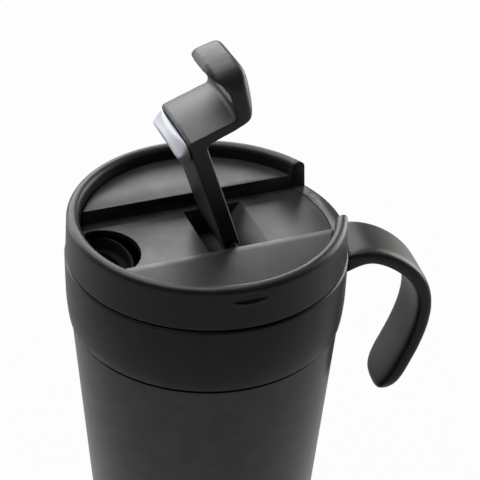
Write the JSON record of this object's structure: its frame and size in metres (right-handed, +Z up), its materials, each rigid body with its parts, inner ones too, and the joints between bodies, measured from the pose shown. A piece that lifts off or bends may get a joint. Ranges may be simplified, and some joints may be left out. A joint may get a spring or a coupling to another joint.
{
  "type": "insulated_tumbler",
  "caption": "Insulated travel tumbler: dark lacquered steel cup, black collar with hook handle, press-in lid with a flip lever and silicone drinking plug",
  "frame": {"origin": "centre of the foot, on the table", "axes": "+Z up along the cup's axis, +X towards the handle"},
  "size_m": [0.1227, 0.0912, 0.22],
  "materials": {
    "lacquer": "satin lacquer",
    "steel": "fine brushed",
    "black_plastic": "fine-grained satin",
    "milky_silicone": "milky, smooth",
    "dark_silicone": "matte"
  },
  "bodies": {
    "cup": {"outer_shell": "lacquer", "shell_base_plate": "steel", "inner_liner": "steel", "liner_gasket": "dark_silicone", "collar": "black_plastic", "handle": "black_plastic", "handle_screw_1": "steel", "handle_screw_2": "steel", "base_cap": "black_plastic", "base_pad": "dark_silicone"},
    "lid": {"lid_ring": "black_plastic", "lid_deck": "black_plastic", "lid_skirt": "black_plastic", "lid_seal": "dark_silicone", "hinge_pin": "steel"},
    "lever": {"flip_lever": "black_plastic", "drink_plug": "milky_silicone"}
  },
  "joints": [
    {"name": "lid_lift", "type": "slide", "parent": "cup", "child": "lid", "axis": [0, 0, 1], "range_m": [0, 0.06]},
    {"name": "lever_flip", "type": "hinge", "parent": "lid", "child": "lever", "pos_m": [0.00366, 0.00052, 0.1579], "axis": [-0.1392, 0.9903, 0], "range_deg": [-72.4, 62.6]}
  ]
}
